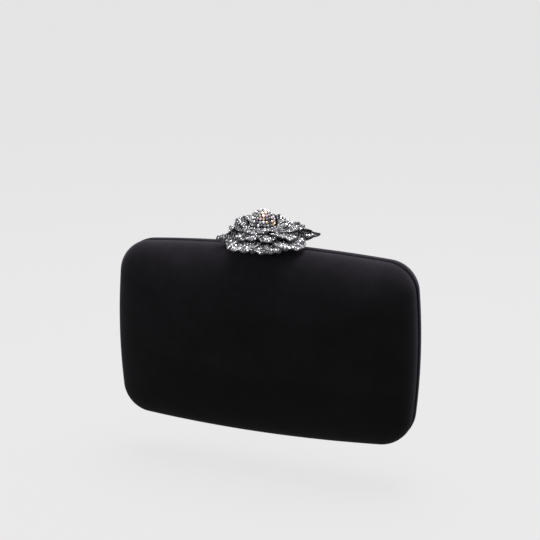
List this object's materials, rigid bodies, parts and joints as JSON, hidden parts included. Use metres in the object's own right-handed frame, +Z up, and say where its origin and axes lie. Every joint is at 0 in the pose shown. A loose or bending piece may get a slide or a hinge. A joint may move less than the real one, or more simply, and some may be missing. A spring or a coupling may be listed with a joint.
{
  "type": "evening clutch purse",
  "caption": "Hard-shell evening clutch: two padded velvet halves hinged along the bottom, closed by a jewelled flower latch that tilts back to let the front half swing open.",
  "frame": {"origin": "On the surface that the clutch stands on, under the middle of the seam between its two halves.", "axes": "+Z up, +X along the width to the right seen from the front, -Y out of the front face."},
  "size_m": [0.19, 0.052, 0.1372],
  "materials": {
    "velvet": "black velvet, short soft pile",
    "foam": "thin polyester padding",
    "shell": "moulded board",
    "satin": "black satin lining",
    "frame_metal": "dark gunmetal plating, satin",
    "steel": "plain steel fasteners and pins",
    "gunmetal": "polished gunmetal plating",
    "crystal": "faceted clear crystal with an iridescent coat"
  },
  "bodies": {
    "rear": {"rear_velvet_cover": "velvet", "rear_foam_pad": "foam", "rear_moulded_shell": "shell", "rear_satin_lining": "satin", "rear_rim_frame": "frame_metal", "rear_hinge_leaf_left": "frame_metal", "rear_hinge_leaf_right": "frame_metal", "hinge_pin_left": "steel", "hinge_pin_right": "steel", "rear_hinge_rivets": "steel", "clasp_base": "frame_metal", "clasp_base_screws": "steel", "clasp_pivot_pin": "steel", "clasp_spring": "steel", "lining_pocket": "satin", "pocket_binding": "satin"},
    "front": {"front_velvet_cover": "velvet", "front_foam_pad": "foam", "front_moulded_shell": "shell", "front_satin_lining": "satin", "front_rim_frame": "frame_metal", "front_hinge_leaf_left": "frame_metal", "front_hinge_leaf_right": "frame_metal", "front_hinge_rivets": "steel", "clasp_strike": "frame_metal", "clasp_strike_screws": "steel"},
    "clasp": {"clasp_lever": "frame_metal", "flower_stud": "steel", "flower_nut": "steel", "flower_base_plate": "gunmetal", "outer_petals": "gunmetal", "second_petals": "gunmetal", "third_petals": "gunmetal", "bud_petals": "gunmetal", "bud_dome": "gunmetal", "bud_stones": "crystal"}
  },
  "joints": [
    {"name": "front_open", "type": "hinge", "parent": "rear", "child": "front", "pos_m": [0, 0, 0.0015], "axis": [1, 0, 0], "range_deg": [0, 70]},
    {"name": "clasp_tilt", "type": "hinge", "parent": "rear", "child": "clasp", "pos_m": [0, 0.006, 0.1172], "axis": [-1, 0, 0], "range_deg": [0, 14], "stiffness_Nm_per_rad": 0.05, "springref_deg": -22.92, "deforming": ["clasp_spring"]}
  ]
}
